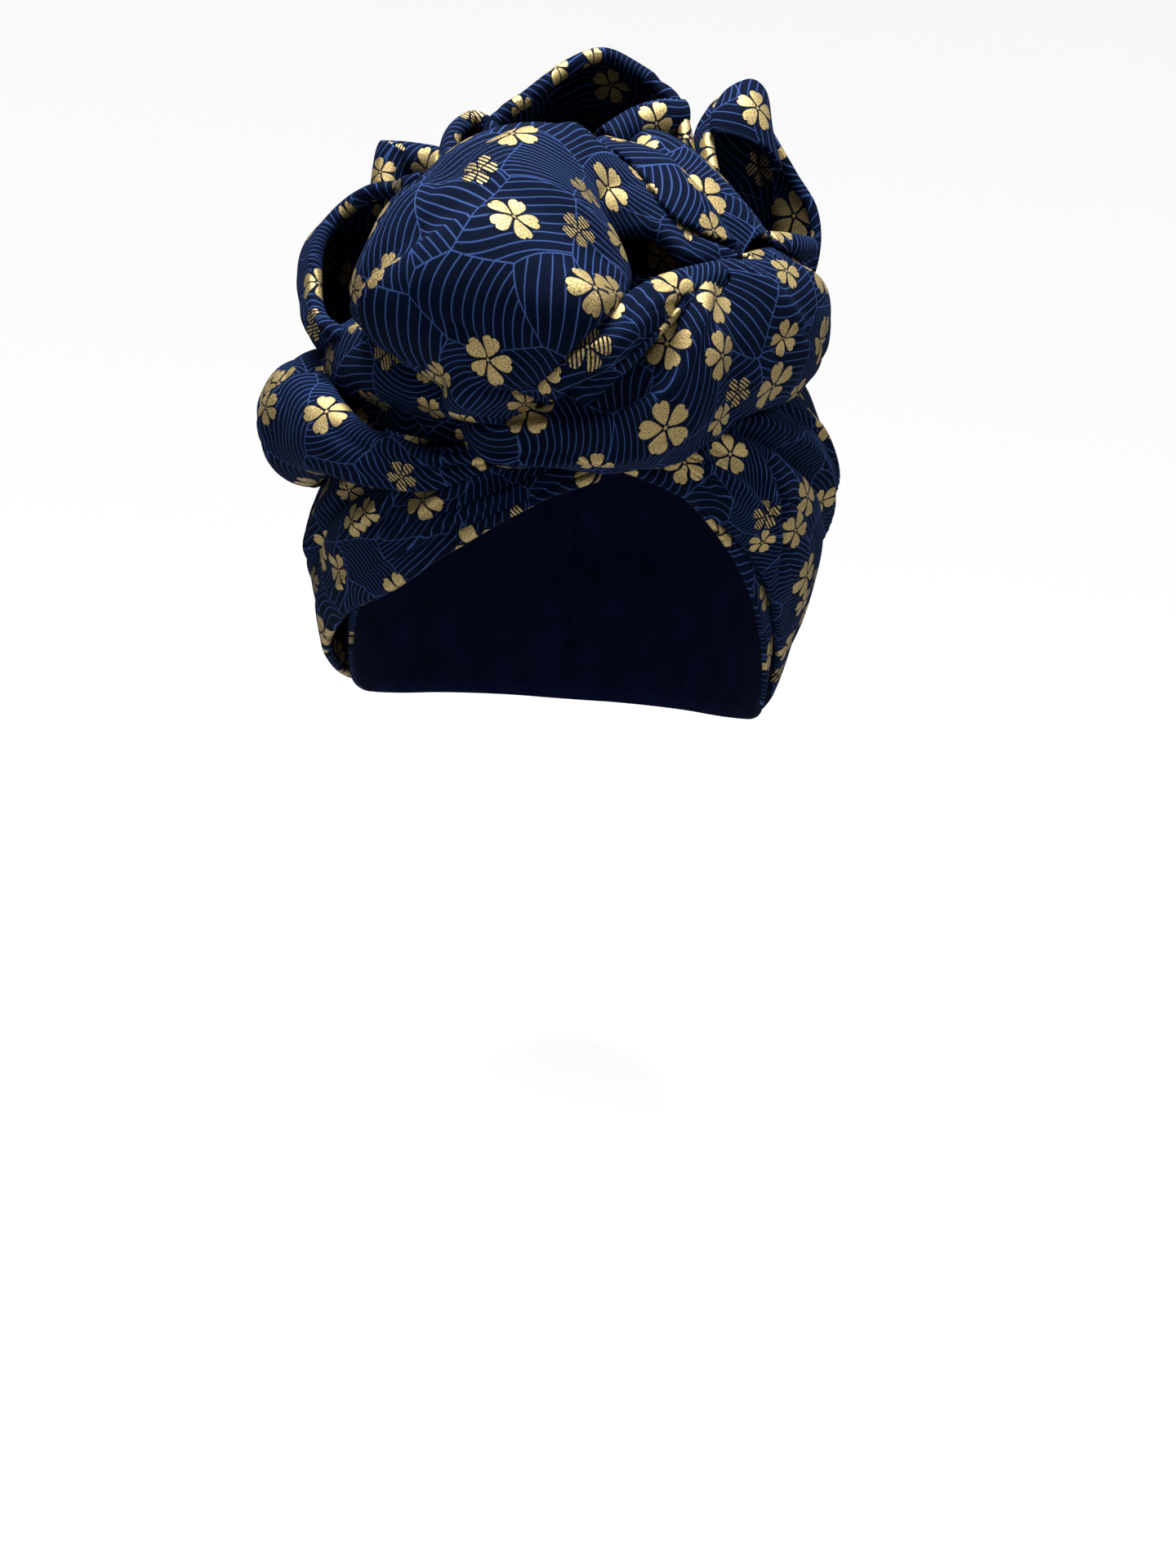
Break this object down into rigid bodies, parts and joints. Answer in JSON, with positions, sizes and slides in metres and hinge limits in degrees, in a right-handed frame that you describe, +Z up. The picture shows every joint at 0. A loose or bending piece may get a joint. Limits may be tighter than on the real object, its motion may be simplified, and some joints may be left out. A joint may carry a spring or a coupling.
{
  "type": "draped turban",
  "caption": "Draped head wrap in dark blue cotton printed with waves and gold blossoms, with folds gathered in a rose over the brow.",
  "frame": {"origin": "the highest point inside the cap, where the crown of the head bears", "axes": "+Z up out of the crown, -Y towards the brow, +X to the viewer's right when facing the brow"},
  "size_m": [0.1998, 0.2479, 0.2256],
  "materials": {
    "printed_cotton": "matte woven cotton with a blue wave print and gold foil blossoms"
  },
  "bodies": {
    "root": {"crown_cap": "printed_cotton", "left_wrap": "printed_cotton", "right_wrap": "printed_cotton", "twist_front": "printed_cotton", "twist_behind": "printed_cotton", "big_petal": "printed_cotton", "brow_band": "printed_cotton", "left_roll": "printed_cotton", "left_fold": "printed_cotton", "ridge_near": "printed_cotton", "ridge_far": "printed_cotton", "loop_curl": "printed_cotton", "back_loop": "printed_cotton", "peak_hood": "printed_cotton", "left_loop": "printed_cotton", "left_peak": "printed_cotton", "ear_tip": "printed_cotton", "ear_curl": "printed_cotton", "right_ear": "printed_cotton"}
  },
  "joints": []
}
